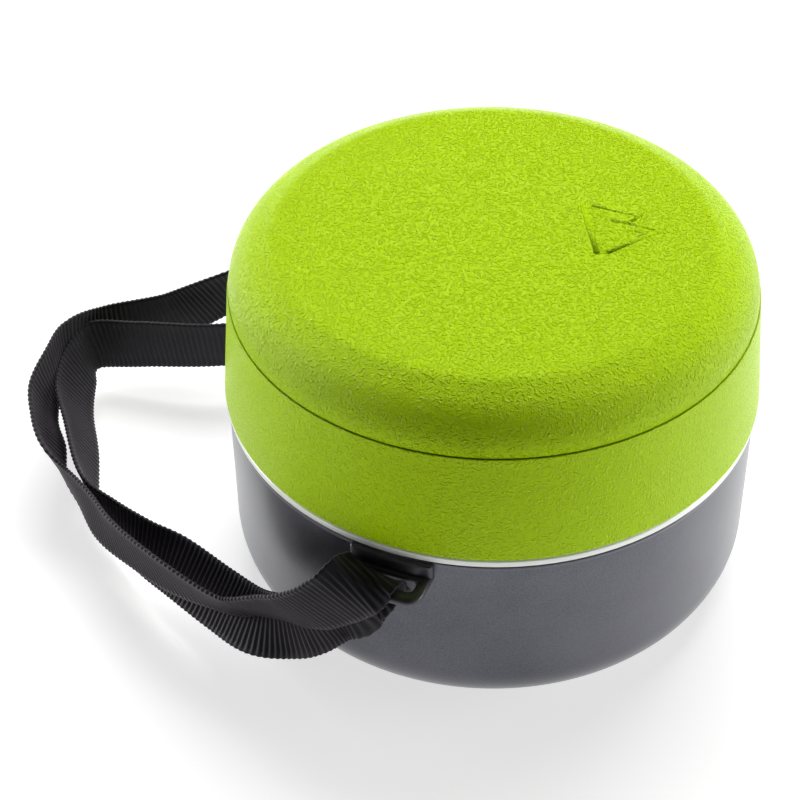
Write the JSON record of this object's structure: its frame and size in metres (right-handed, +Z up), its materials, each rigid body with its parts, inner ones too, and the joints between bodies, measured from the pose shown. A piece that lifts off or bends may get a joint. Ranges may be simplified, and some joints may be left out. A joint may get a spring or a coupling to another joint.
{
  "type": "cooking pot set",
  "caption": "Nested camping pot set with an inner pot, cup, gripper, lid and a two-piece green plastic cover, and a webbing carry strap.",
  "frame": {"origin": "centre of the pot's base, on the plane it stands on", "axes": "+Z up along the pot's axis; the two strap lugs lie on the Y axis and the strap's loop reaches towards -X"},
  "size_m": [0.2391, 0.1922, 0.116],
  "materials": {
    "anodised_aluminium": "satin anodised",
    "inner_aluminium": "satin anodised",
    "lid_aluminium": "bright",
    "lug_metal": "glossy dark nickel",
    "rivet_metal": "satin",
    "webbing": "ribbed webbing",
    "cup_plastic": "matt",
    "gripper_metal": "satin",
    "steel": "satin",
    "cover_plastic": "leather grain"
  },
  "bodies": {
    "pot": {"pot_body": "anodised_aluminium", "front_strap_lug": "lug_metal", "rear_strap_lug": "lug_metal", "front_lug_rivets": "rivet_metal", "rear_lug_rivets": "rivet_metal", "strap_front_anchor": "webbing", "strap_rear_anchor": "webbing"},
    "strap": {"strap_upper_strand": "webbing", "strap_lower_strand": "webbing"},
    "nested_pot": {"inner_pot": "inner_aluminium"},
    "drinking_cup": {"cup": "cup_plastic"},
    "gripper": {"gripper_lower_arm": "gripper_metal", "gripper_pivot_pin": "steel", "gripper_spring": "steel"},
    "gripper_lever": {"gripper_upper_arm": "gripper_metal"},
    "lid": {"pot_lid": "lid_aluminium", "lid_loop_saddle": "steel", "lid_rivets": "rivet_metal"},
    "lid_loop": {"lid_loop_handle": "steel"},
    "bowl": {"cover_bowl": "cover_plastic"},
    "plate": {"cover_plate": "cover_plastic"}
  },
  "joints": [
    {"name": "strap_swing", "type": "hinge", "parent": "pot", "child": "strap", "pos_m": [0, 0, 0.0557], "axis": [0, 1, 0], "range_deg": [0, 40]},
    {"name": "inner_pot_lift", "type": "slide", "parent": "pot", "child": "nested_pot", "axis": [0, 0, 1], "range_m": [0, 0.07]},
    {"name": "cup_lift", "type": "slide", "parent": "nested_pot", "child": "drinking_cup", "axis": [0, 0, 1], "range_m": [0, 0.06]},
    {"name": "gripper_lift", "type": "slide", "parent": "drinking_cup", "child": "gripper", "axis": [0, 0, 1], "range_m": [0, 0.06]},
    {"name": "gripper_squeeze", "type": "hinge", "parent": "gripper", "child": "gripper_lever", "pos_m": [-0.034, 0.024, 0.018], "axis": [1, 0, 0], "range_deg": [0, 10], "stiffness_Nm_per_rad": 0.4, "springref_deg": -8.59},
    {"name": "lid_lift", "type": "slide", "parent": "gripper", "child": "lid", "axis": [0, 0, 1], "range_m": [0, 0.04]},
    {"name": "lid_loop_fold", "type": "hinge", "parent": "lid", "child": "lid_loop", "pos_m": [0, 0, 0.06157], "axis": [-1, 0, 0], "range_deg": [0, 90]},
    {"name": "bowl_lift", "type": "slide", "parent": "lid", "child": "bowl", "axis": [0, 0, 1], "range_m": [0, 0.05]},
    {"name": "plate_lift", "type": "slide", "parent": "bowl", "child": "plate", "axis": [0, 0, 1], "range_m": [0, 0.03]}
  ]
}
